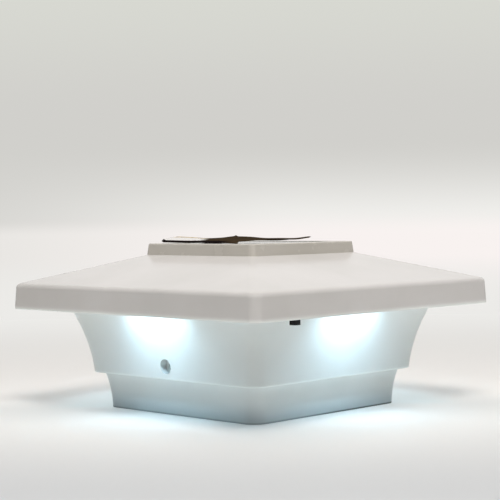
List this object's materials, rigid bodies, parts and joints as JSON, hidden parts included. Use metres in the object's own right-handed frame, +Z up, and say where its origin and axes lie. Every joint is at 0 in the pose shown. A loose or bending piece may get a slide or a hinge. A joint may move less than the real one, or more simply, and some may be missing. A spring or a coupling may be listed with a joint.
{
  "type": "deck post cap light",
  "caption": "Solar post cap light: low pyramid roof with a raised panel, eave lights that wash a two-tier flared collar, a slide switch and a battery door.",
  "frame": {"origin": "centre of the collar's foot, on the surface that the light stands on", "axes": "+Z up; the fixing holes are on the -Y and +Y sides; the slide switch is under the eave on the +X side"},
  "size_m": [0.218, 0.218, 0.109],
  "materials": {
    "cap_plastic": "white injection-moulded plastic, satin gloss",
    "tray_plastic": "white injection-moulded plastic, fine satin",
    "lens_clear": "clear moulded plastic, slightly diffusing",
    "led_board_white": "white solder mask",
    "led_phosphor": "phosphor gel",
    "switch_black": "black moulded plastic",
    "contact_metal": "nickel-plated spring steel",
    "screw_steel": "zinc-plated steel",
    "cell_sleeve": "shrink sleeve over a metal can",
    "board_green": "green solder mask",
    "chip_black": "moulded epoxy package",
    "ferrite": "ferrite drum core with a wound coil",
    "capacitor_can": "sleeved aluminium can",
    "wire_sleeve": "insulated copper wire",
    "panel_board_black": "black laminate",
    "silicon": "blue-black silicon with fine metal fingers",
    "panel_clear": "clear resin",
    "seal_black": "silicone bead",
    "film_sheet": "thin matte dark brown film, clear where it has come away"
  },
  "bodies": {
    "cap": {"battery_box": "tray_plastic", "battery_cell_left": "cell_sleeve", "battery_cell_right": "cell_sleeve", "battery_contacts": "contact_metal", "battery_springs": "contact_metal", "battery_wires": "wire_sleeve", "board_screws": "screw_steel", "box_screws": "screw_steel", "capacitor": "capacitor_can", "collar_screws": "screw_steel", "controller_chip": "chip_black", "door_hinge_pin": "screw_steel", "driver_board": "board_green", "frame_screws": "screw_steel", "inductor": "ferrite", "led_board_front": "led_board_white", "led_board_left": "led_board_white", "led_board_rear": "led_board_white", "led_board_right": "led_board_white", "led_chip_front": "led_phosphor", "led_chip_left": "led_phosphor", "led_chip_rear": "led_phosphor", "led_chip_right": "led_phosphor", "led_lens_front": "lens_clear", "led_lens_left": "lens_clear", "led_lens_rear": "lens_clear", "led_lens_right": "lens_clear", "led_screws": "screw_steel", "led_wires_front": "wire_sleeve", "led_wires_left": "wire_sleeve", "led_wires_rear": "wire_sleeve", "led_wires_right": "wire_sleeve", "panel_board": "panel_board_black", "panel_cover": "panel_clear", "panel_film": "film_sheet", "panel_frame": "cap_plastic", "panel_seal": "seal_black", "panel_wires": "wire_sleeve", "post_collar": "cap_plastic", "roof_screws": "screw_steel", "roof_shell": "cap_plastic", "solar_cells": "silicon", "switch_housing": "switch_black", "switch_screws": "screw_steel", "switch_terminals": "contact_metal", "switch_wires": "wire_sleeve", "under_tray": "tray_plastic"},
    "switch": {"switch_knob": "switch_black"},
    "door": {"battery_door": "tray_plastic"}
  },
  "joints": [
    {"name": "switch_slide", "type": "slide", "parent": "cap", "child": "switch", "axis": [0, -1, 0], "range_m": [0, 0.0035]},
    {"name": "door_hinge", "type": "hinge", "parent": "cap", "child": "door", "pos_m": [-0.01825, 0, 0.0637], "axis": [0, 1, 0], "range_deg": [0, 95]}
  ]
}
